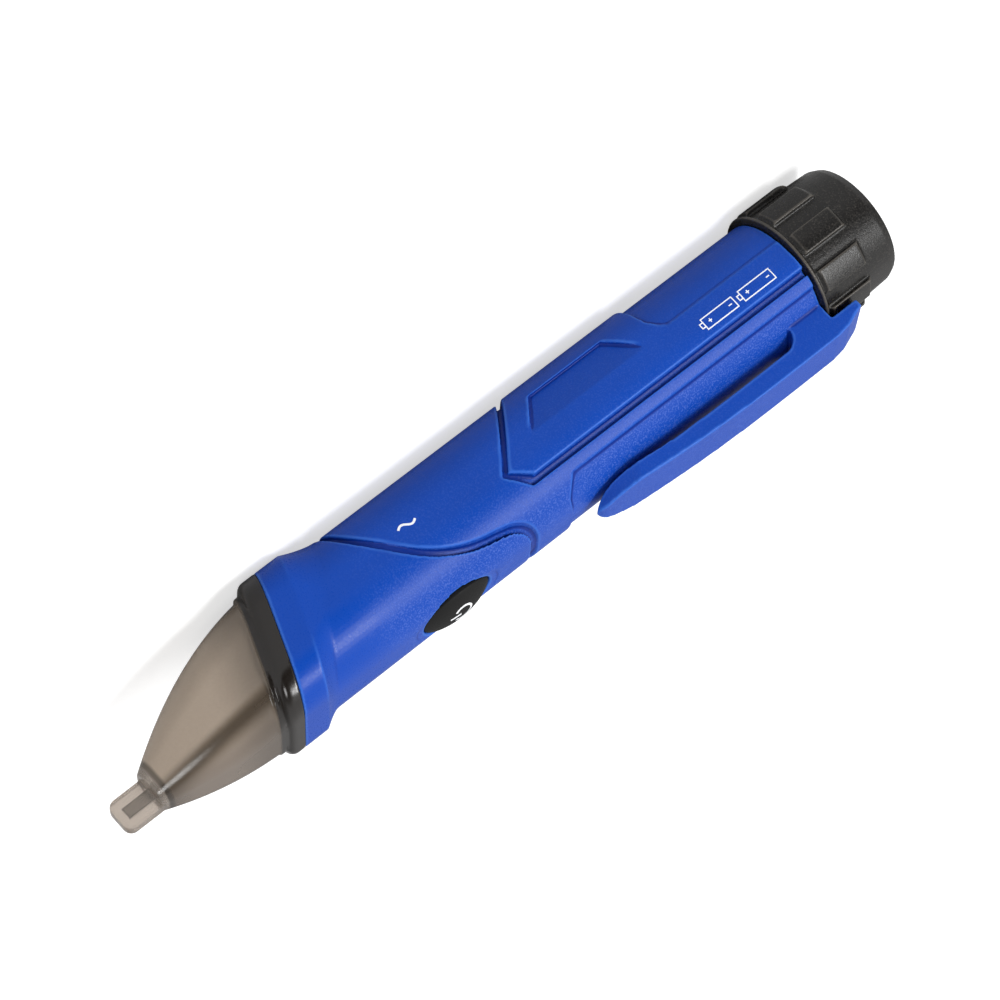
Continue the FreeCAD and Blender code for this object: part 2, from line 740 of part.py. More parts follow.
def build_return_strip():
    """A strip along the bottom of the chassis, turned up at its rear to meet the cap contact's rim."""
    body = new_body("return_strip")
    sketch = new_sketch(body, "XZ_Plane", "strip_outline")
    rear = size("spigot_front_x") + 0.85
    front, low, sheet, turn_up_z, turn_up = 102.0, -8.8, 0.4, -6.3, 0.3
    polygon(sketch, [(rear, low), (front, low), (front, low + sheet), (rear + turn_up, low + sheet),
                     (rear + turn_up, turn_up_z), (rear, turn_up_z)])
    pad(body, sketch, "strip", "2.6", symmetric=True)
    return body


# ---------------------------------------------------------------- chassis and board

def build_inner_chassis():
    """A cradle for the cells that carries the board on two rails and the sounder at its front."""
    rear, front = size("spigot_front_x") + 2.5, size("board_front_x") - 2.0
    outer = size("bore_radius") - 0.15
    bulkhead = size("cell_rear_x") + 2 * size("cell_length") + 0.4
    top = size("board_z") - 0.02
    drum = Part.makeCylinder(outer, front - rear, V(rear, 0, 0), V(1, 0, 0))
    trough = side_prism([(rear, LOW), (front, LOW), (front, top), (80.0, top), (80.0, 1.5), (rear, 1.5)])
    solid = drum.common(trough)
    cell_room = size("cell_radius") + 0.2
    solid = solid.cut(Part.makeCylinder(cell_room, bulkhead - rear, V(rear, 0, 0), V(1, 0, 0)))
    solid = solid.cut(Part.makeBox(80.0 - rear, 2 * cell_room, 20, V(rear, -cell_room, 0)))
    front_room = Part.makeBox(front - bulkhead, 12.8, 20, V(bulkhead + 1.4, -6.4, -7.9))
    solid = solid.cut(front_room)
    slot = Part.makeBox(103 - rear + 1, 2.8, 1.4, V(rear - 1, -1.4, -9.2))
    solid = solid.cut(slot)
    leaf_half, leaf_rear = 2.6, bulkhead - 0.45
    drop = 1.6
    upright_foot = V(leaf_rear, -leaf_half, top - drop)
    upright_room = Part.makeBox(bulkhead - leaf_rear, 2 * leaf_half, drop, upright_foot)
    turned_room = Part.makeBox(6, 2 * leaf_half, 0.45, V(leaf_rear, -leaf_half, top - 0.45))
    solid = solid.cut(upright_room).cut(turned_room)
    pilot_radius, pilot_depth = 0.76, 2.6
    for side in (-1, 1):
        pilot_foot = V(size("screw_x"), side * size("screw_y"), top - pilot_depth)
        solid = solid.cut(Part.makeCylinder(pilot_radius, pilot_depth + 0.1, pilot_foot, V(0, 0, 1)))
    return shape_feature("inner_chassis", solid)


def build_main_board():
    body = new_body("main_board")
    sketch = new_sketch(body, "XY_Plane", "board_outline", "Sizes.board_z")
    rear, front, half = size("board_rear_x"), size("board_front_x"), size("board_width") / 2
    polygon(sketch, [(rear, -half), (front - 4, -half), (front, -half + 3), (front, half - 3),
                     (front - 4, half), (rear, half)])
    board = pad(body, sketch, "board_plate", "Sizes.board_thickness")
    holes = new_sketch(body, "XY_Plane", "screw_holes", "Sizes.board_z + Sizes.board_thickness")
    for side in (-1, 1):
        circle(holes, "0.85", (size("screw_x"), side * size("screw_y")))
    pocket(body, holes, "screw_passages", "Sizes.board_thickness")
    return body


def grouped_boxes(name, places, length, width, height):
    """Identical little blocks as one group of separate solids."""
    solids = [Part.makeBox(length, width, height, V(x - length / 2, y - width / 2, z)) for x, y, z in places]
    return shape_feature(name, Part.Compound(solids))


def build_chips():
    above = size("board_z") + size("board_thickness") + 0.01
    below = size("board_z") - 0.01
    detector = box("detector_chip", "8.6", "3.9", "1.4", ("101", "-4.9", "Sizes.board_z - 1.42"))
    amplifier = box("amplifier_chip", "4.9", "3.9", "1.2", ("83.2", "-1.95",
                                                         "Sizes.board_z + Sizes.board_thickness + 0.01"))
    capacitors = [(108.4 + 2.0 * (i % 2), -3.2 + 2.1 * (i // 2), above) for i in range(6)]
    resistors = [(101.5 + 2.2 * i, 2.4, below - 0.5) for i in range(4)]
    resistors += [(101.5 + 2.2 * i, 4.4, below - 0.5) for i in range(4)]
    grouped_boxes("chip_capacitors", capacitors, 1.25, 1.6, 0.8)
    grouped_boxes("chip_resistors", resistors, 1.2, 1.6, 0.5)
    return detector, amplifier


def build_board_screws():
    """Two identical screws that hold the board down on the chassis rails."""
    solids = []
    seat = size("board_z") + size("board_thickness")
    for side in (-1, 1):
        x, y = size("screw_x"), side * size("screw_y")
        shank = Part.makeCylinder(0.7, 3.4, V(x, y, seat - 3.3), V(0, 0, 1))
        head = Part.makeCylinder(1.2, 0.5, V(x, y, seat + size("part_clearance")), V(0, 0, 1))
        drive = Part.makeBox(1.6, 0.35, 0.35, V(x - 0.8, y - 0.175, seat + 0.26))
        solids.append(shank.fuse(head).cut(drive))
    return shape_feature("board_screws", Part.Compound(solids))


def build_led(name, side):
    """A 3 mm lamp that points into the nose from the board's front end."""
    body = new_body(name)
    start = size("board_front_x") - 0.4
    flange, barrel, flange_length = 1.6, 1.5, 0.7
    turned(body, name + "_lens", [
        (start, 0), (start, flange), (start + flange_length, flange), (start + flange_length, barrel),
        (start + 3.2, barrel), (start + 4.2, 1.15), (start + 4.7, 0.6), (start + 4.8, 0)])
    lamp_y, lamp_z = 3.2, 3.6
    body.Placement = FreeCAD.Placement(V(0, side * lamp_y, lamp_z), FreeCAD.Rotation())
    return body


def build_sounder():
    """A piezo disc that closes a shallow case."""
    body = new_body("buzzer_case")
    x, base = 105.4, -7.6
    outer, inner, height = 5.9, 5.1, 3.6
    sketch = new_sketch(body, "XY_Plane", "case_outline", str(base))
    circle(sketch, str(outer), (x, 0.0))
    pad(body, sketch, "case_block", str(height))
    room = new_sketch(body, "XY_Plane", "case_room", str(base + height))
    circle(room, str(inner), (x, 0.0))
    pocket(body, room, "case_hollow", str(height - 0.8))
    disc = rod("buzzer_disc", "5.05", "0.3", str(x), V(0, 0, 1), "0", str(base + height - 0.7))
    return body, disc


# ---------------------------------------------------------------- button and switch

def build_power_button():
    """A rubber button: a crowned oval pad, a retaining flange under the barrel wall and a central stem."""
    x = size("button_x")
    long, wide = size("button_long"), size("button_wide")
    ceiling = size("ceiling_z")
    flange_low = ceiling - 0.85
    top = size("button_top_z")
    pad_solid = oval(x, flange_low, long, wide, top - flange_low)
    crown = Part.makeSphere(1.0)
    scale = FreeCAD.Matrix()
    scale.scale(long * 0.60, wide * 0.66, top - 8.4)
    scale.move(V(x, 0, 8.4))
    pad_solid = pad_solid.common(crown.transformGeometry(scale).fuse(oval(x, flange_low, long, wide, 1.0)))
    flange = Part.makeBox(long + 3.2, wide + 1.6, 0.8, V(x - long / 2 - 1.6, -wide / 2 - 0.8, flange_low))
    upright = [e for e in flange.Edges if e.BoundBox.ZLength > 0.7]
    flange = flange.makeFillet(3.0, upright)
    room = oval(x, flange_low - 0.1, long - 2.6, wide - 2.4, 1.5)
    stem = Part.makeCylinder(1.4, 1.6, V(x, 0, 8.95), V(0, 0, 1))
    return shape_feature("power_button", pad_solid.fuse(flange).cut(room).fuse(stem))


def build_switch():
    body = new_body("switch_housing")
    seat = "Sizes.board_z + Sizes.board_thickness + 0.01"
    sketch = new_sketch(body, "XY_Plane", "housing_outline", seat)
    sketch.setExpression(".AttachmentOffset.Base.x", "Sizes.button_x")
    rectangle(sketch, "5.2", "5.2")
    pad(body, sketch, "housing_block", "1.35")
    well = new_sketch(body, "XY_Plane", "plunger_well", seat + " + 1.35")
    well.setExpression(".AttachmentOffset.Base.x", "Sizes.button_x")
    circle(well, "1.15")
    pocket(body, well, "plunger_room", "0.95")
    plunger = rod("switch_plunger", "1.1", "0.83", "Sizes.button_x", V(0, 0, 1), "0",
                  "Sizes.board_z + Sizes.board_thickness + 0.87")
    return body, plunger


# ---------------------------------------------------------------- assembly and export

def build_all():
    build_body_shell()
    build_nose_cover()
    build_sensor_antenna()
    build_battery_cap()
    build_cap_seal()
    build_cap_contact()
    build_battery_spring()
    build_cell("battery_rear", size("cell_rear_x"))
    build_cell("battery_front", size("cell_rear_x") + size("cell_length"))
    build_positive_contact()
    build_return_strip()
    build_inner_chassis()
    build_main_board()
    build_chips()
    build_board_screws()
    build_led("signal_led", -1)
    build_led("power_led", 1)
    build_sounder()
    build_power_button()
    build_switch()
    DOC.recompute()


NODES = [
    "body_shell", "nose_cover", "sensor_antenna", "battery_cap", "cap_seal", "cap_contact", "battery_spring",
    "battery_rear", "battery_front", "positive_contact", "return_strip", "inner_chassis", "main_board",
    "detector_chip", "amplifier_chip", "chip_capacitors", "chip_resistors", "board_screws", "signal_led",
    "power_led", "buzzer_case", "buzzer_disc", "power_button", "switch_housing", "switch_plunger",
]


def check_document():
    for item in DOC.Objects:
        if "Invalid" in item.State or "Error" in item.State:
            raise RuntimeError(f"{item.Name} failed: {item.State}")
    for name in NODES:
        shape = DOC.getObject(name).Shape
        if shape.isNull() or not shape.isValid():
            raise RuntimeError(f"{name} has no valid shape")
        if not shape.Solids:
            raise RuntimeError(f"{name} has no solid")


def export_nodes():
    os.makedirs("parts", exist_ok=True)
    for name in NODES:
        DOC.getObject(name).Shape.exportStep(f"parts/{name}.step")


build_all()
check_document()
export_nodes()
for node in NODES:
    node_shape = DOC.getObject(node).Shape
    print(node, len(node_shape.Solids), round(node_shape.Volume, 1))
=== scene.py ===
import json
import math

import bpy
import numpy as np
from mathutils import Matrix, Vector
from mathutils.bvhtree import BVHTree


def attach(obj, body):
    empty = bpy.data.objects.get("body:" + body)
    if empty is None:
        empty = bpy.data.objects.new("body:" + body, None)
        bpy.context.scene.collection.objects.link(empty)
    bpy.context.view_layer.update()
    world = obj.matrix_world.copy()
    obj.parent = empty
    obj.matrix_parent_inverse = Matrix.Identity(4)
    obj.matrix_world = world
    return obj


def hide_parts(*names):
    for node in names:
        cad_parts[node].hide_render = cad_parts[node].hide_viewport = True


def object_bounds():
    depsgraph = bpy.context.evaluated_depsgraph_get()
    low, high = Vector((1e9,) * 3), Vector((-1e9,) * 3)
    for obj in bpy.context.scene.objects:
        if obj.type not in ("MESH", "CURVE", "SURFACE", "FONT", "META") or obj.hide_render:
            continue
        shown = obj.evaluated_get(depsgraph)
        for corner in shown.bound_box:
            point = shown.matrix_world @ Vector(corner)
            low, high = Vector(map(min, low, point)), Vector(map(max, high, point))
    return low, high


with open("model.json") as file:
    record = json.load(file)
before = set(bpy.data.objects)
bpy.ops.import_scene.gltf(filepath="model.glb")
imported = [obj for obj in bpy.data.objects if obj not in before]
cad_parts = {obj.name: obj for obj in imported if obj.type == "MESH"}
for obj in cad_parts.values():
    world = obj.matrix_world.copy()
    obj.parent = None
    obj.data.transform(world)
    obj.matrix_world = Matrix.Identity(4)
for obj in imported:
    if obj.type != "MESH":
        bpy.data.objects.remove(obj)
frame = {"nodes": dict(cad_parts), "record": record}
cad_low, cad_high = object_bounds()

# A pen-shaped voltage tester. +X runs from the cap to the sensing blade, +Z is the side with the button and
# the pocket clip. Lengths are metres unless a name ends in _MM or a docstring says millimetres. Places along
# the pen are measured from the cap's end face.
MM = 0.001
NODES = frame["nodes"]

RELIEF = "relief"  # the vertex attribute that says how far a spot stands out from its surroundings

# ---------------------------------------------------------------- node helpers


class Shader:
    """A node material around one Principled shader, with short calls for the nodes it is built from."""

    def __init__(self, name):
        self.material = bpy.data.materials.new(name)
        self.material.use_nodes = True
        self.tree = self.material.node_tree
        self.surface = self.tree.nodes["Principled BSDF"]
        self.place = self.tree.nodes.new("ShaderNodeTexCoord").outputs["Object"]

    def link(self, source, target):
        self.tree.links.new(source, target)

    def set(self, key, value):
        """Gives a Principled input a plain value or another node's output."""
        if isinstance(value, bpy.types.NodeSocket):
            self.link(value, self.surface.inputs[key])
        else:
            self.surface.inputs[key].default_value = value

    def noise(self, size, detail=2.0, roughness=0.5):
        """Noise whose blobs are about size metres across."""
        node = self.tree.nodes.new("ShaderNodeTexNoise")
        node.inputs["Scale"].default_value = 1.0 / size
        node.inputs["Detail"].default_value = detail
        node.inputs["Roughness"].default_value = roughness
        self.link(self.place, node.inputs["Vector"])
        return node.outputs["Fac"]

    def ramp(self, source, low, high, to_low=0.0, to_high=1.0):
        node = self.tree.nodes.new("ShaderNodeMapRange")
        node.interpolation_type = "SMOOTHSTEP"
        for key, value in zip(("From Min", "From Max", "To Min", "To Max"), (low, high, to_low, to_high)):
            node.inputs[key].default_value = value
        self.link(source, node.inputs["Value"])
        return node.outputs["Result"]

    def math(self, kind, first, second=0.0):
        node = self.tree.nodes.new("ShaderNodeMath")
        node.operation = kind
        for socket, value in zip(node.inputs, (first, second)):
            if isinstance(value, bpy.types.NodeSocket):
                self.link(value, socket)
            else:
                socket.default_value = value
        return node.outputs[0]

    def mix(self, share, first, second):
        """A colour between first and second."""
        node = self.tree.nodes.new("ShaderNodeMix")
        node.data_type = "RGBA"
        self.link(share, node.inputs["Factor"])
        for socket, value in zip((node.inputs[6], node.inputs[7]), (first, second)):
            if isinstance(value, bpy.types.NodeSocket):
                self.link(value, socket)
            else:
                socket.default_value = (*value, 1.0)
        return node.outputs[2]

    def axis(self, letter):
        node = self.tree.nodes.new("ShaderNodeSeparateXYZ")
        self.link(self.place, node.inputs["Vector"])
        return node.outputs[letter]

    def facing(self, letter, low, high):
        """How far the surface turns towards one axis."""
        node = self.tree.nodes.new("ShaderNodeSeparateXYZ")
        normal = self.tree.nodes.new("ShaderNodeNewGeometry").outputs["Normal"]
        self.link(normal, node.inputs["Vector"])
        return self.ramp(node.outputs[letter], low, high)

    def relief(self, low, high):
        """Reads a softened piece's relief, in millimetres: positive on edges, negative in grooves."""
        node = self.tree.nodes.new("ShaderNodeAttribute")
        node.attribute_name = RELIEF
        return self.ramp(node.outputs["Fac"], low, high)

    def bump(self, height, strength, distance):
        node = self.tree.nodes.new("ShaderNodeBump")
        node.inputs["Distance"].default_value = distance
        if isinstance(strength, bpy.types.NodeSocket):
            self.link(strength, node.inputs["Strength"])
        else:
            node.inputs["Strength"].default_value = strength
        self.link(height, node.inputs["Height"])
        self.link(node.outputs["Normal"], self.surface.inputs["Normal"])


# ---------------------------------------------------------------- materials

GRAIN_MM = 0.27  # size of the spark-eroded grain on the moulded parts
POLISH_START_X = 106 * MM  # the grain fades out over this stretch, towards the polished collar
POLISH_END_X = 116 * MM
RIM_SLOPE = 0.389  # the nose rim stands on slanted planes
RIM_END_X = 128.8 * MM
BLADE_ROOT_X = 152.3 * MM
SHOULDER_Z = 6.8 * MM  # where the nose turns from its side to its top


def shell_blue():
    """Saturated blue moulding: grained along the barrel, polished towards the collar, with painted glints on
    its grain, painted highlights on its edges and painted shade in its grooves.
    """
    shader = Shader("shell_blue")
    grain = shader.noise(GRAIN_MM * MM, 3.0, 0.6)
    polish = shader.ramp(shader.axis("X"), POLISH_START_X, POLISH_END_X)
    drift = shader.noise(18 * MM, 2.0)
    deep, bright = (0.002, 0.052, 0.375), (0.003, 0.062, 0.430)
    # These three colours are a painted glint for grain specks, a painted highlight for raised edges and
    # painted shade for grooves.
    grain_glint_blue, edge_highlight_blue, groove_shade_blue = (0.100, 0.180, 0.60), (0.026, 0.120, 0.540), (0.001, 0.024, 0.235)
    base = shader.mix(drift, deep, bright)
    # Painted highlight: the lighter grain specks stand for glints, and grow stronger on faces turned up (+Z)
    # towards the overhead lamp. The grain itself is real.
    up_facing_sheen = shader.facing("Z", 0.10, 0.85)
    grain_glint = shader.math("MULTIPLY", shader.ramp(grain, 0.47, 0.66), shader.math("ADD", 0.25, up_facing_sheen))
    grained = shader.mix(shader.math("MULTIPLY", grain_glint, 0.40), base, grain_glint_blue)
    plain = shader.mix(polish, grained, base)
    # Painted highlight: raised edges (positive relief) turn lighter blue, standing for light caught on their
    # rounding.
    edge = shader.mix(shader.relief(0.025, 0.110), plain, edge_highlight_blue)
    # Painted shade: grooves (negative relief) turn darker blue, where shade falls.
    shader.set("Base Color", shader.mix(shader.relief(-0.060, -0.015), groove_shade_blue, edge))
    rough = shader.ramp(grain, 0.3, 0.7, 0.30, 0.46)
    shader.set("Roughness", shader.math("SUBTRACT", rough, shader.math("MULTIPLY", polish, 0.06)))
    shader.set("Specular IOR Level", 0.20)
    strength = shader.math("SUBTRACT", 0.9, shader.math("MULTIPLY", polish, 0.84))
    shader.bump(grain, strength, 0.05 * MM)
    return shader.material


def nose_smoke():
    """Smoke-brown clear moulding: near black at its rim, with painted shade along its shoulder and on faces
    turned up, pale on its blade.
    """
    rim_black, top_shade_haze = (0.010, 0.0075, 0.006), (0.250, 0.200, 0.160)
    thin_haze, thick_haze = (0.560, 0.455, 0.355), (0.500, 0.405, 0.315)
    shoulder_shade_brown, base_brown = (0.075, 0.054, 0.036), (0.085, 0.064, 0.046)
    lip_brown, blade_pale = (0.045, 0.036, 0.028), (0.660, 0.570, 0.490)
    seam_half, rim_fade = 0.3 * MM, 10 * MM
    shoulder_core, shoulder_reach = 0.2 * MM, 2.4 * MM
    shader = Shader("nose_smoke")
    along = shader.math("SUBTRACT", shader.axis("X"), shader.math("MULTIPLY", shader.axis("Z"), RIM_SLOPE))
    body_share = shader.ramp(along, RIM_END_X - seam_half, RIM_END_X + seam_half)
    blade_share = shader.ramp(shader.axis("X"), BLADE_ROOT_X - 0.2 * MM, BLADE_ROOT_X + 0.5 * MM)
    frost = shader.noise(0.5 * MM, 3.0)
    clear_haze = shader.mix(frost, thick_haze, thin_haze)
    # Painted shade: faces turned up (+Z) take a darker haze.
    haze = shader.mix(shader.facing("Z", 0.35, 0.95), clear_haze, top_shade_haze)
    # Painted shade: a dark band along the shoulder, where the side turns to the top.
    from_shoulder = shader.math("ABSOLUTE", shader.math("SUBTRACT", shader.axis("Z"), SHOULDER_Z))
    shade = shader.ramp(from_shoulder, shoulder_core, shoulder_reach, 0.90, 0.0)
    shaded = shader.mix(shade, haze, shoulder_shade_brown)
    near_rim = shader.ramp(along, RIM_END_X, RIM_END_X + rim_fade, 0.60, 0.0)
    smoky = shader.mix(near_rim, shaded, base_brown)
    lip = shader.ramp(shader.axis("X"), BLADE_ROOT_X - 1.1 * MM, BLADE_ROOT_X - 0.5 * MM, 0.0, 0.75)
    lipped = shader.mix(lip, smoky, lip_brown)
    body = shader.mix(blade_share, lipped, blade_pale)
    shader.set("Base Color", shader.mix(body_share, rim_black, body))
    clear = shader.math("ADD", 0.38, shader.math("MULTIPLY", blade_share, 0.40))
    shader.set("Transmission Weight", shader.math("MULTIPLY", body_share, clear))
    shader.set("Roughness", shader.ramp(frost, 0.3, 0.7, 0.17, 0.25))
    shader.set("IOR", 1.5)
    shader.bump(frost, 0.05, 0.03 * MM)
    return shader.material


def cap_black():
    """Black moulding with a coarse grain; its lighter grain specks are painted glints and its raised edges
    carry a painted highlight.
    """
    shader = Shader("cap_black")
    grain = shader.noise(GRAIN_MM * MM * 1.15, 3.0, 0.65)
    # After black: a painted glint colour for grain specks and a painted highlight colour for raised edges.
    black, glint_grey, edge_highlight_grey = (0.0042, 0.0035, 0.0030), (0.046, 0.041, 0.035), (0.070, 0.062, 0.053)
    # Painted highlight: lighter grain specks stand for glints on the real grain.
    tone = shader.mix(shader.ramp(grain, 0.5, 0.75), black, glint_grey)
    # Painted highlight: raised edges turn lighter grey.
    shader.set("Base Color", shader.mix(shader.relief(0.030, 0.120), tone, edge_highlight_grey))
    shader.set("Roughness", shader.ramp(grain, 0.3, 0.7, 0.26, 0.44))
    shader.set("Specular IOR Level", 0.42)
    shader.bump(grain, 0.8, 0.05 * MM)
    return shader.material


def button_rubber():
    """Matt black rubber with a fine dry texture."""
    shader = Shader("button_rubber")
    grain = shader.noise(0.22 * MM, 3.0, 0.6)
    shader.set("Base Color", shader.mix(grain, (0.0030, 0.0030, 0.0032), (0.009, 0.009, 0.009)))
    shader.set("Roughness", shader.ramp(grain, 0.3, 0.7, 0.50, 0.66))
    shader.set("Specular IOR Level", 0.18)
    shader.bump(grain, 0.35, 0.04 * MM)
    return shader.material


def print_ink():
    """White pad-printed ink, slightly uneven in cover."""
    shader = Shader("print_ink")
    cover = shader.noise(0.25 * MM, 2.0)
    shader.set("Base Color", shader.mix(cover, (0.90, 0.92, 0.96), (0.97, 0.98, 1.00)))
    shader.set("Roughness", 0.48)
    shader.bump(cover, 0.1, 0.01 * MM)
    return shader.material


def moulded(name, dark, light, roughness, grain_mm=0.3):
    """A plain moulded or coated surface with a fine grain between two tones."""
    shader = Shader(name)
    grain = shader.noise(grain_mm * MM, 3.0)
    shader.set("Base Color", shader.mix(grain, dark, light))
    shader.set("Roughness", shader.ramp(grain, 0.3, 0.7, roughness - 0.05, roughness + 0.05))
    shader.bump(grain, 0.2, 0.02 * MM)
    return shader.material


def metal(name, dark, light, roughness):
    """Plated or rolled metal with slight cloudiness."""
    shader = Shader(name)
    cloud = shader.noise(0.9 * MM, 4.0)
    shader.set("Base Color", shader.mix(cloud, dark, light))
    shader.set("Metallic", 1.0)
    shader.set("Roughness", shader.ramp(cloud, 0.3, 0.7, roughness - 0.06, roughness + 0.06))
    shader.bump(cloud, 0.1, 0.01 * MM)
    return shader.material


def lens(name, dark, light):
    """Tinted clear epoxy for an indicator lamp."""
    shader = Shader(name)
    shader.set("Base Color", shader.mix(shader.noise(1.2 * MM), dark, light))
    shader.set("Transmission Weight", 0.6)
    shader.set("Roughness", shader.ramp(shader.noise(0.6 * MM), 0.3, 0.7, 0.10, 0.20))
    return shader.material


MATERIALS = {
    "blue_shell": shell_blue(),
    "smoke_nose": nose_smoke(),
    "dark_strip": moulded("dark_strip", (0.016, 0.011, 0.007), (0.034, 0.025, 0.016), 0.45),
    "black_cap": cap_black(),
    "seal_rubber": moulded("seal_rubber", (0.010, 0.010, 0.010), (0.022, 0.022, 0.022), 0.50),
    "plated_steel": metal("plated_steel", (0.52, 0.51, 0.48), (0.68, 0.67, 0.64), 0.26),
    "cell_jacket": moulded("cell_jacket", (0.040, 0.042, 0.048), (0.075, 0.078, 0.085), 0.30, 1.5),
    "white_carrier": moulded("white_carrier", (0.62, 0.62, 0.60), (0.72, 0.72, 0.70), 0.45),
    "board_green": moulded("board_green", (0.010, 0.100, 0.035), (0.020, 0.150, 0.055), 0.32, 0.8),
    "chip_black": moulded("chip_black", (0.012, 0.012, 0.012), (0.026, 0.026, 0.026), 0.45),
    "ceramic_tan": moulded("ceramic_tan", (0.34, 0.24, 0.14), (0.44, 0.32, 0.20), 0.50),
    "zinc_steel": metal("zinc_steel", (0.50, 0.51, 0.54), (0.66, 0.67, 0.70), 0.32),
    "red_lens": lens("red_lens", (0.50, 0.02, 0.015), (0.65, 0.04, 0.025)),
    "green_lens": lens("green_lens", (0.03, 0.42, 0.06), (0.06, 0.55, 0.10)),
    "brass_disc": metal("brass_disc", (0.62, 0.46, 0.20), (0.74, 0.57, 0.28), 0.30),
    "button_rubber": button_rubber(),
    "switch_plastic": moulded("switch_plastic", (0.025, 0.025, 0.025), (0.045, 0.045, 0.045), 0.45),
    "switch_plunger": moulded("switch_plunger", (0.34, 0.22, 0.05), (0.46, 0.31, 0.09), 0.45),
}
INK = print_ink()
SLOT_OF = {part["node"]: part["material_slot"] for part in frame["record"]["subparts"]}
BODY_OF = {
    node: body
    for body, members in frame["record"]["behaviour"]["bodies"].items()
    for node in members
}


def paint(obj, material):
    obj.data.materials.clear()
    obj.data.materials.append(material)


# ---------------------------------------------------------------- moulded pieces

RELIEF_ROUNDS = 10  # how many times the surface is averaged before the relief is read off it
WELD_GAP = 0.002 * MM


def store_relief(mesh, rounds):
    """Stores how far each vertex stands out from its own surface after rounds of neighbour averaging."""
    count = len(mesh.vertices)
    spots = np.empty(count * 3)
    mesh.vertices.foreach_get("co", spots)
    spots = spots.reshape(-1, 3)
    normals = np.empty(count * 3)
    mesh.vertex_normals.foreach_get("vector", normals)
    ends = np.empty(len(mesh.edges) * 2, int)
    mesh.edges.foreach_get("vertices", ends)
    start, end = ends.reshape(-1, 2).T
    own, other = np.concatenate((start, end)), np.concatenate((end, start))
    neighbours = np.maximum(np.bincount(own, minlength=count), 1)
    flat = spots.copy()
    for _ in range(rounds):
        flat = np.stack([np.bincount(own, flat[other, k], count) / neighbours for k in range(3)], axis=1)
    height = ((spots - flat) * normals.reshape(-1, 3)).sum(axis=1) / MM
    mesh.attributes.new(RELIEF, "FLOAT", "POINT").data.foreach_set("value", height.astype(np.float32))


def softened(node, name, voxel, passes):
    """A copy of a CAD node with every edge rounded as a mould leaves it, which stands for the node."""
    piece = bpy.data.objects.new(name, NODES[node].data.copy())
    bpy.context.scene.collection.objects.link(piece)
    weld = piece.modifiers.new("weld", "WELD")
    weld.merge_threshold = WELD_GAP
    remesh = piece.modifiers.new("remesh", "REMESH")
    remesh.mode = "VOXEL"
    remesh.voxel_size = voxel
    smooth = piece.modifiers.new("smooth", "SMOOTH")
    smooth.factor = 0.5
    smooth.iterations = passes
    depsgraph = bpy.context.evaluated_depsgraph_get()
    mesh = bpy.data.meshes.new_from_object(piece.evaluated_get(depsgraph))
    piece.modifiers.clear()
    piece.data = mesh
    mesh.shade_smooth()
    store_relief(mesh, RELIEF_ROUNDS)
    paint(piece, MATERIALS[SLOT_OF[node]])
    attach(piece, BODY_OF[node])
    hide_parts(node)
    return piece


# ---------------------------------------------------------------- printed marks

INK_ABOVE = 0.03 * MM
INK_BELOW = 0.05 * MM
PRINT_STEP_MM = 0.25  # the longest straight step along a stroke
RAY_START = 0.03  # how far from the pen's axis or middle plane a ray starts, well outside the pen


def surface_tree(piece):
    mesh = piece.data
    points = [vertex.co.copy() for vertex in mesh.vertices]
    return BVHTree.FromPolygons(points, [tuple(face.vertices) for face in mesh.polygons])


def round_barrel(reference_radius_mm):
    """Maps (x, arc length from +Z towards -Y) in millimetres to a ray running in to the pen's axis."""
    def ray(along, around):
        angle = around / reference_radius_mm
        outward = Vector((0.0, -math.sin(angle), math.cos(angle)))
        return Vector((along * MM, 0.0, 0.0)) + outward * RAY_START, -outward
    return ray


def from_above(along, across):
    """Maps (x, y) in millimetres to a ray that runs straight down."""
    return Vector((along * MM, across * MM, RAY_START)), Vector((0.0, 0.0, -1.0))


def dense(points):
    """The same polyline with a point at least every print step."""
    filled = [np.array(points[0], float)]
    for start, end in zip(points, points[1:]):
        start, end = np.array(start, float), np.array(end, float)
        pieces = max(1, math.ceil(np.linalg.norm(end - start) / PRINT_STEP_MM))
        filled.extend(start + (end - start) * step / pieces for step in range(1, pieces + 1))
    return filled


def print_mark(name, strokes, ray, surface, body):
    """Thin closed ribbons of ink laid on a surface. Each stroke is (points, width), in millimetres."""
    tree = surface_tree(surface)
    vertices, faces = [], []
    for points, width in strokes:
        line = dense(points)
        first = len(vertices)
        for i, point in enumerate(line):
            ahead, behind = line[min(i + 1, len(line) - 1)], line[max(i - 1, 0)]
            run = (ahead - behind) / np.linalg.norm(ahead - behind)
            sideways = np.array((-run[1], run[0])) * width / 2
            for edge in (point - sideways, point + sideways):
                origin, direction = ray(*edge)
                hit, normal, _, _ = tree.ray_cast(origin, direction)
                vertices.append(hit + normal * INK_ABOVE)
                vertices.append(hit - normal * INK_BELOW)
        for i in range(len(line) - 1):
            a, b = first + 4 * i, first + 4 * i + 4
            faces += [(a, b, b + 2, a + 2), (a + 1, a + 3, b + 3, b + 1), (a, a + 1, b + 1, b),
                      (a + 2, b + 2, b + 3, a + 3)]
        last = first + 4 * (len(line) - 1)
        faces += [(first, first + 2, first + 3, first + 1), (last, last + 1, last + 3, last + 2)]
    mesh = bpy.data.meshes.new(name)
    mesh.from_pydata(vertices, [], faces)
    mesh.validate()
    piece = bpy.data.objects.new(name, mesh)
    bpy.context.scene.collection.objects.link(piece)
    paint(piece, INK)
    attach(piece, body)


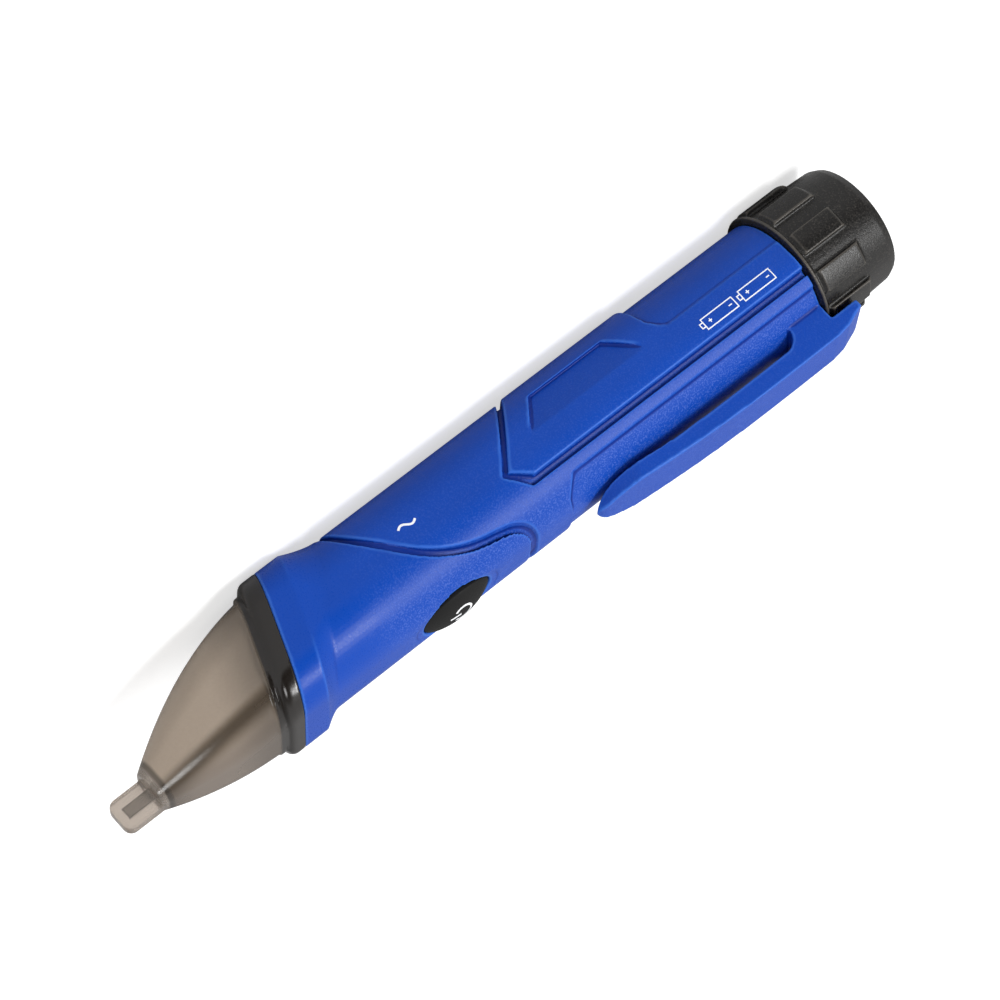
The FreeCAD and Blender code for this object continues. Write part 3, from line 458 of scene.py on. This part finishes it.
def cell_outline(rear, front, low, high, line):
    """The sign for a cell: a rectangle with its nub towards the nose, a plus by the nub, a minus behind."""
    middle = (low + high) / 2
    nub, nub_half, sign_half = 0.70, 0.42, 0.34
    plus_inset, minus_inset = 1.3, 1.0
    plus_x, minus_x = front - plus_inset, rear + minus_inset
    end = line / 2
    return [
        ([(rear - end, low), (front + end, low)], line), ([(rear - end, high), (front + end, high)], line),
        ([(rear, low), (rear, high)], line), ([(front, low), (front, high)], line),
        ([(front, middle - nub_half), (front + nub + end, middle - nub_half)], line),
        ([(front, middle + nub_half), (front + nub + end, middle + nub_half)], line),
        ([(front + nub, middle - nub_half), (front + nub, middle + nub_half)], line),
        ([(plus_x - sign_half, middle), (plus_x + sign_half, middle)], line),
        ([(plus_x, middle - sign_half), (plus_x, middle + sign_half)], line),
        ([(minus_x - sign_half, middle), (minus_x + sign_half, middle)], line),
    ]


def wave(centre_x, centre_arc, length, height, line):
    """One alternating-current wave, the generic sign for mains voltage."""
    steps = 48
    points = []
    for i in range(steps + 1):
        share = i / steps
        rise = height * math.sin(2 * math.pi * share)
        points.append((centre_x + (share - 0.5) * length, centre_arc - rise))
    return [(points, line)]


def power_symbol(centre_x, radius, line):
    """An open ring with a bar through its gap, the gap facing the nose."""
    gap = math.radians(38)
    steps = 40
    ring = []
    for i in range(steps + 1):
        angle = gap + (2 * math.pi - 2 * gap) * i / steps
        ring.append((centre_x + radius * math.cos(angle), radius * math.sin(angle)))
    bar_start, bar_end = 0.25, 1.45  # in radii from the ring's centre
    bar = [(centre_x + radius * bar_start, 0.0), (centre_x + radius * bar_end, 0.0)]
    return [(ring, line), (bar, line)]


# ---------------------------------------------------------------- the pieces

for node_name, node_object in NODES.items():
    paint(node_object, MATERIALS[SLOT_OF[node_name]])

fine = 0.20 * MM
shell = softened("body_shell", "barrel_moulding", voxel=fine, passes=4)
softened("nose_cover", "nose_moulding", voxel=fine * 0.85, passes=8)
softened("battery_cap", "cap_moulding", voxel=fine * 0.9, passes=3)
button = softened("power_button", "button_moulding", voxel=0.12 * MM, passes=6)

BARREL_ARC_MM = 11.2  # radius that turns an arc length on the barrel into an angle
CELL_LOW_MM, CELL_HIGH_MM = 13.95, 15.95  # arc lengths of the cell signs' long sides
CELL_ENDS_MM = ((22.8, 29.6), (31.1, 37.8))  # rear and front of each cell sign
BUTTON_X_MM = 97.1

cell_strokes = []
for cell_rear, cell_front in CELL_ENDS_MM:
    cell_strokes += cell_outline(cell_rear, cell_front, CELL_LOW_MM, CELL_HIGH_MM, line=0.19)
wave_strokes = wave(centre_x=97.6, centre_arc=18.7, length=3.4, height=0.42, line=0.38)
power_strokes = power_symbol(BUTTON_X_MM, radius=1.7, line=0.42)
print_mark("cell_pictures", cell_strokes, round_barrel(BARREL_ARC_MM), shell, "barrel")
print_mark("wave_mark", wave_strokes, round_barrel(BARREL_ARC_MM), shell, "barrel")
print_mark("button_mark", power_strokes, from_above, button, "button")

# ---------------------------------------------------------------- floor, light and camera

FLOOR_HALF = 3.0
FLOOR_BELOW = 0.02 * MM  # the gap that keeps the floor clear of the pen
FLOOR_GLOW = 0.62


def build_floor():
    """A plain pale floor. Its glow is seen by the camera only, so the glow does not light the pen."""
    mesh = bpy.data.meshes.new("floor")
    corners = [(-FLOOR_HALF, -FLOOR_HALF), (FLOOR_HALF, -FLOOR_HALF), (FLOOR_HALF, FLOOR_HALF),
               (-FLOOR_HALF, FLOOR_HALF)]
    mesh.from_pydata([(x, y, cad_low.z - FLOOR_BELOW) for x, y in corners], [], [(0, 1, 2, 3)])
    floor = bpy.data.objects.new("floor", mesh)
    bpy.context.scene.collection.objects.link(floor)
    pale = moulded("floor_pale", (0.60, 0.60, 0.60), (0.62, 0.62, 0.62), roughness=0.8, grain_mm=40.0)
    surface = pale.node_tree.nodes["Principled BSDF"]
    surface.inputs["Specular IOR Level"].default_value = 0.0
    surface.inputs["Emission Color"].default_value = (1.0, 1.0, 1.0, 1.0)
    seen = pale.node_tree.nodes.new("ShaderNodeLightPath").outputs["Is Camera Ray"]
    glow = pale.node_tree.nodes.new("ShaderNodeMath")
    glow.operation = "MULTIPLY"
    pale.node_tree.links.new(seen, glow.inputs[0])
    glow.inputs[1].default_value = FLOOR_GLOW
    pale.node_tree.links.new(glow.outputs[0], surface.inputs["Emission Strength"])
    paint(floor, pale)


def soft_light(name, place, aim, size, power):
    light = bpy.data.lights.new(name, "AREA")
    light.shape = "DISK"
    light.size = size
    light.energy = power
    lamp = bpy.data.objects.new(name, light)
    lamp.location = place
    lamp.rotation_mode = "QUATERNION"
    lamp.rotation_quaternion = (Vector(place) - Vector(aim)).to_track_quat("Z", "Y")
    bpy.context.scene.collection.objects.link(lamp)


def build_camera(target, azimuth, elevation, roll, distance, lens_mm, shift):
    """A camera round the target at the given angles, turned about its own axis by roll degrees."""
    a, e, r = map(math.radians, (azimuth, elevation, roll))
    back = Vector((math.sin(a) * math.cos(e), -math.cos(a) * math.cos(e), math.sin(e)))
    level = Vector((0, 0, 1)).cross(back).normalized()
    upright = back.cross(level)
    right = level * math.cos(r) + upright * math.sin(r)
    up = back.cross(right)
    data = bpy.data.cameras.new("camera")
    data.sensor_width = 36.0
    data.lens = lens_mm
    data.shift_x, data.shift_y = shift
    data.clip_start, data.clip_end = 0.01, 20.0
    camera = bpy.data.objects.new("camera", data)
    spot = target + back * distance
    camera.matrix_world = Matrix((
        (right.x, up.x, back.x, spot.x), (right.y, up.y, back.y, spot.y), (right.z, up.z, back.z, spot.z),
        (0, 0, 0, 1)))
    bpy.context.scene.collection.objects.link(camera)
    bpy.context.scene.camera = camera


def build_world(low, high, dark_side):
    """A studio that is bright overhead, dim towards the horizon and nearly dark on the camera's side."""
    world = bpy.data.worlds.new("studio")
    world.use_nodes = True
    tree = world.node_tree
    background = tree.nodes["Background"]
    background.inputs["Color"].default_value = (1.0, 1.0, 1.0, 1.0)
    towards = tree.nodes.new("ShaderNodeTexCoord").outputs["Generated"]

    def share_along(direction, start, end, to_start, to_end):
        dot = tree.nodes.new("ShaderNodeVectorMath")
        dot.operation = "DOT_PRODUCT"
        tree.links.new(towards, dot.inputs[0])
        dot.inputs[1].default_value = direction
        step = tree.nodes.new("ShaderNodeMapRange")
        step.interpolation_type = "SMOOTHSTEP"
        for key, value in zip(("From Min", "From Max", "To Min", "To Max"), (start, end, to_start, to_end)):
            step.inputs[key].default_value = value
        tree.links.new(dot.outputs["Value"], step.inputs["Value"])
        return step.outputs["Result"]

    up, full, nearly_dark = (0.0, 0.0, 1.0), 1.0, 0.08
    product = tree.nodes.new("ShaderNodeMath")
    product.operation = "MULTIPLY"
    tree.links.new(share_along(up, 0.10, 0.80, low, high), product.inputs[0])
    tree.links.new(share_along(dark_side, 0.45, 0.90, full, nearly_dark), product.inputs[1])
    tree.links.new(product.outputs[0], background.inputs["Strength"])
    bpy.context.scene.world = world


CAMERA_SIDE = (0.34, -0.88, 0.32)  # from the pen towards the camera

middle = Vector((0.075, 0.0, 0.0))
build_floor()
build_world(low=0.35, high=1.05, dark_side=CAMERA_SIDE)
soft_light("overhead", place=(-0.16, -0.38, 0.56), aim=middle, size=0.26, power=3.2)
soft_light("nose_side", place=(0.50, -0.46, 0.30), aim=middle, size=0.24, power=1.3)
build_camera(middle, azimuth=20.9, elevation=18.86, roll=135.46, distance=0.55, lens_mm=123.9,
             shift=(-0.0172, -0.0215))
bpy.context.scene.view_settings.view_transform = "Standard"
